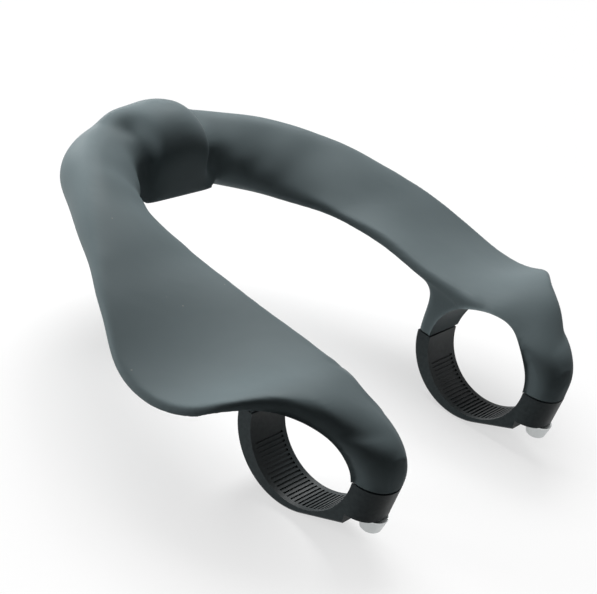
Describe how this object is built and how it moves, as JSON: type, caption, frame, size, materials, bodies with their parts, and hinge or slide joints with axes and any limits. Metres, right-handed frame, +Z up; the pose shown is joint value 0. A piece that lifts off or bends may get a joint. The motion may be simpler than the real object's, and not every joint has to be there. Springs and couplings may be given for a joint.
{
  "type": "aero handlebar extension",
  "caption": "Moulded carbon loop that bolts onto a handlebar: flat forearm paddles run forward from bar clamps with ribbed straps and join in a raised front bridge.",
  "frame": {"origin": "on the handlebar axis, midway between the clamps", "axes": "+X along the bar to the rider's right, +Y forward to the bridge, +Z up, square to the plane where the clamps split"},
  "size_m": [0.153, 0.1395, 0.0573],
  "materials": {
    "body_finish": "matte charcoal over moulded carbon",
    "strap_finish": "satin black anodised",
    "bolt_metal": "bright turned",
    "insert_metal": "plain machined"
  },
  "bodies": {
    "root": {"extension_body": "body_finish", "left_clamp_strap": "strap_finish", "right_clamp_strap": "strap_finish", "left_clamp_bolt": "bolt_metal", "right_clamp_bolt": "bolt_metal", "left_thread_insert": "insert_metal", "right_thread_insert": "insert_metal"}
  },
  "joints": []
}
